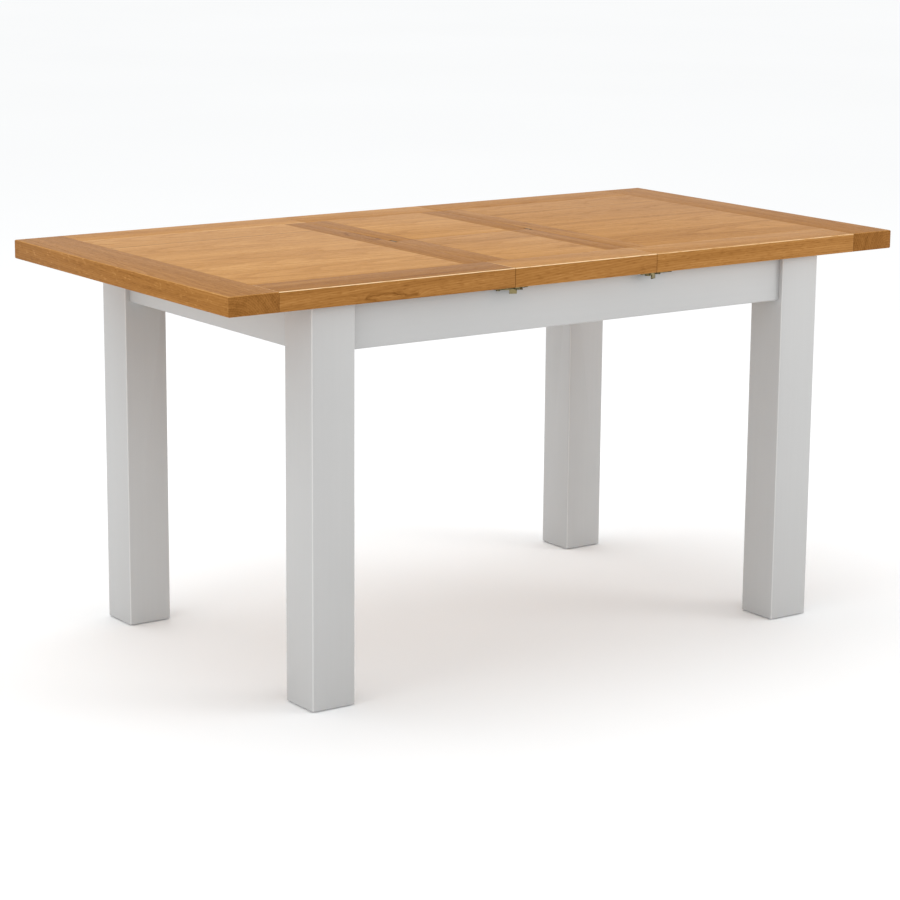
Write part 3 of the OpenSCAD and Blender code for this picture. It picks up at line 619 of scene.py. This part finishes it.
def softened(node, radius):
    piece = bpy.data.objects.new(pieceName(node), nodes[node].data.copy())
    scene.collection.objects.link(piece)
    activate(piece)
    bpy.ops.object.mode_set(mode="EDIT")
    bpy.ops.mesh.select_all(action="SELECT")
    bpy.ops.mesh.remove_doubles(threshold=softEdges["mergeReach"])
    bpy.ops.mesh.dissolve_limited(angle_limit=math.radians(softEdges["flatAngle"]))
    bpy.ops.object.mode_set(mode="OBJECT")
    bevel = piece.modifiers.new("softEdge", "BEVEL")
    bevel.width, bevel.segments = radius, softEdges["segments"]
    bevel.limit_method, bevel.angle_limit = "ANGLE", math.radians(softEdges["edgeAngle"])
    bevel.use_clamp_overlap, bevel.offset_type = False, "OFFSET"
    bpy.ops.object.modifier_apply(modifier=bevel.name)
    bpy.ops.object.shade_smooth_by_angle(angle=math.radians(softEdges["smoothAngle"]))
    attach(piece, bodyOf[node])
    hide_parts(node)
    return piece


screwHeads = {
    "sizes": (  # head radius, then the reach, width and depth of its cross recess, in metres
        (0.004, 0.0023, 0.0008, 0.0016),
        (0.0022, 0.0013, 0.0005, 0.0008),
    ),
    "fewestCorners": 10, "radiusError": 0.0001,  # how a head's round face is told from the others
}


def makeCross(reach, width, depth):
    # a cross that is cut into a head: a square bar with its four sides drawn out
    bpy.ops.object.select_all(action="DESELECT")
    bpy.ops.mesh.primitive_cube_add(size=1)
    cross = bpy.context.object
    bpy.ops.object.mode_set(mode="EDIT")
    bpy.ops.transform.resize(value=(width, width, depth * 2))
    bpy.ops.object.mode_set(mode="OBJECT")
    for face in cross.data.polygons:
        face.select = abs(face.normal.z) < 0.5
    bpy.ops.object.mode_set(mode="EDIT")
    bpy.ops.mesh.select_mode(type="FACE")
    bpy.ops.mesh.extrude_faces_move(TRANSFORM_OT_shrink_fatten={"value": reach - width / 2})
    bpy.ops.object.mode_set(mode="OBJECT")
    return cross


def headPlaces(piece, radius):
    # the middle and the direction of each round face of this radius
    found = []
    for face in piece.data.polygons:
        corners = [piece.data.vertices[index].co for index in face.vertices]
        middle = sum(corners, Vector()) / len(corners)
        reaches = [(corner - middle).length for corner in corners]
        error = max(abs(reach - radius) for reach in reaches)
        if len(corners) >= screwHeads["fewestCorners"] and error < screwHeads["radiusError"]:
            found.append((middle, face.normal.copy()))
    return found


def cutHeads(piece, rounding):
    crosses = []
    for radius, reach, width, depth in screwHeads["sizes"]:
        places = headPlaces(piece, radius - rounding)
        if not places:
            continue
        pattern = makeCross(reach, width, depth)
        for middle, outward in places:
            copy = bpy.data.objects.new("cross", pattern.data.copy())
            scene.collection.objects.link(copy)
            turn = outward.to_track_quat("Z", "Y").to_matrix().to_4x4()
            copy.data.transform(Matrix.Translation(middle) @ turn)
            crosses.append(copy)
        bpy.data.objects.remove(pattern)
    if not crosses:
        return 0
    activate(crosses[0])
    for cross in crosses:
        cross.select_set(True)
    bpy.ops.object.join()
    cutter = bpy.context.object
    activate(piece)
    recess = piece.modifiers.new("recess", "BOOLEAN")
    recess.operation, recess.solver, recess.object = "DIFFERENCE", "EXACT", cutter
    bpy.ops.object.modifier_apply(modifier=recess.name)
    bpy.data.objects.remove(cutter)
    bpy.ops.object.shade_smooth_by_angle(angle=math.radians(softEdges["smoothAngle"]))
    return len(crosses)


firstInnerSeed = 20  # clear of the seeds of the oak boards


def finishPieces():
    headCount = 0
    metal = {name: metalMaterial(name) for name in metals}
    shared = {**metal, "nylon": nylonMaterial()}
    paints = {name: paintMaterial(name, stretch) for name, stretch in paint["stretches"].items()}
    for seed, node in enumerate(sorted(nodes)):
        finish = slotOf[node]
        if finish == "oak":
            material = oakMaterial(node)
        elif finish == "inner_wood":
            material = beechMaterial(node, "Y" if "cross_rail" in node else "X", firstInnerSeed + seed)
        elif finish == "painted_wood":
            endwise = node in ("left_apron", "right_apron")
            upright = node.startswith("leg_")
            material = paints["legPaint" if upright else "endApronPaint" if endwise else "apronPaint"]
        else:
            material = shared[finish]
        radius = softEdges["radius"][finish]
        piece = nodes[node] if node in softEdges["leftPlain"] else softened(node, radius)
        if node.endswith("_screws"):
            headCount += cutHeads(piece, radius)
        piece.data.materials.clear()
        piece.data.materials.append(material)
    print("screw heads cut:", headCount)


floor = makeStudio()
timberGrain, faceMasks = makeTimberGrain(), makeFaceMasks()
brushMarks, tarnish = makeBrushMarks(), makeTarnish()
floor.data.materials.append(floorMaterial())
print("studio and shared effects made")
finishPieces()
print("pieces softened and finished")
